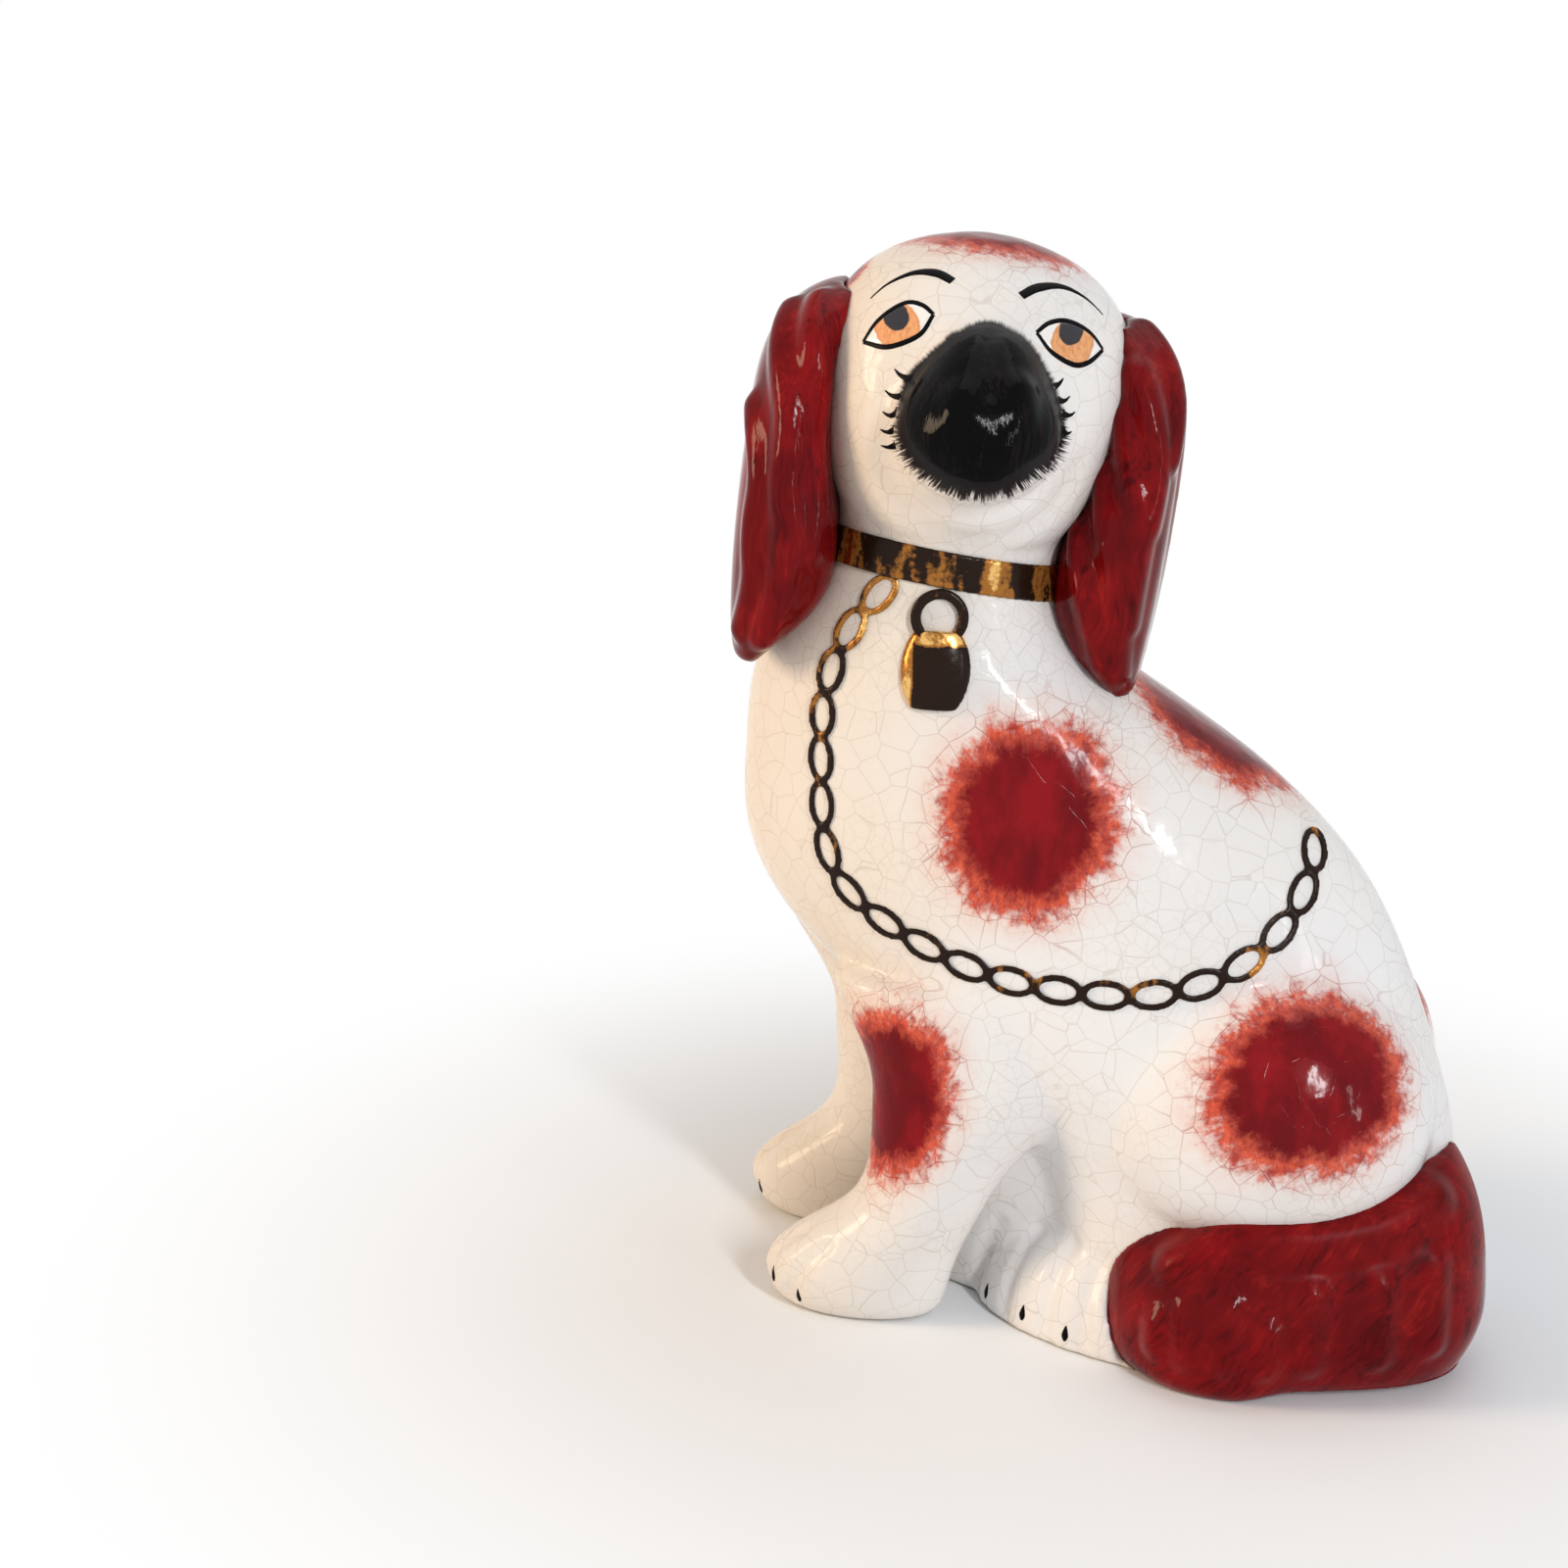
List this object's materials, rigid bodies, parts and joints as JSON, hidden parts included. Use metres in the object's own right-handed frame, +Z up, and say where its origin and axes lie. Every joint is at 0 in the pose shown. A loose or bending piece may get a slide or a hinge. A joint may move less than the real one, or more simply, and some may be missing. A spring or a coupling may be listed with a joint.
{
  "type": "staffordshire dog figure",
  "caption": "Seated spaniel mantel ornament in glazed earthenware, head turned to the viewer, with red patches, ears and tail and a gilded collar, padlock and chain.",
  "frame": {"origin": "on the ground under the middle of the figure's box", "axes": "+Z up; the dog sits along X with its chest towards -X and its tail towards +X; its face looks out towards -Y"},
  "size_m": [0.1734, 0.0988, 0.2387],
  "materials": {
    "white_glaze": "glossy crazed lead glaze over cream earthenware, with russet enamel patches",
    "base_glaze": "thin wiped glaze on the underside",
    "red_enamel": "glossy brushed deep red enamel",
    "black_enamel": "glossy black enamel",
    "gold_lustre": "worn gold lustre over umber"
  },
  "bodies": {
    "root": {"body_front_shell": "white_glaze", "body_back_shell": "white_glaze", "left_foreleg": "white_glaze", "right_foreleg": "white_glaze", "left_hind_paw": "white_glaze", "right_hind_paw": "white_glaze", "base_slab": "base_glaze", "left_ear": "red_enamel", "right_ear": "red_enamel", "tail": "red_enamel", "muzzle": "black_enamel", "collar": "gold_lustre", "padlock_body": "gold_lustre", "padlock_shackle": "gold_lustre", "lead_chain": "gold_lustre"}
  },
  "joints": []
}
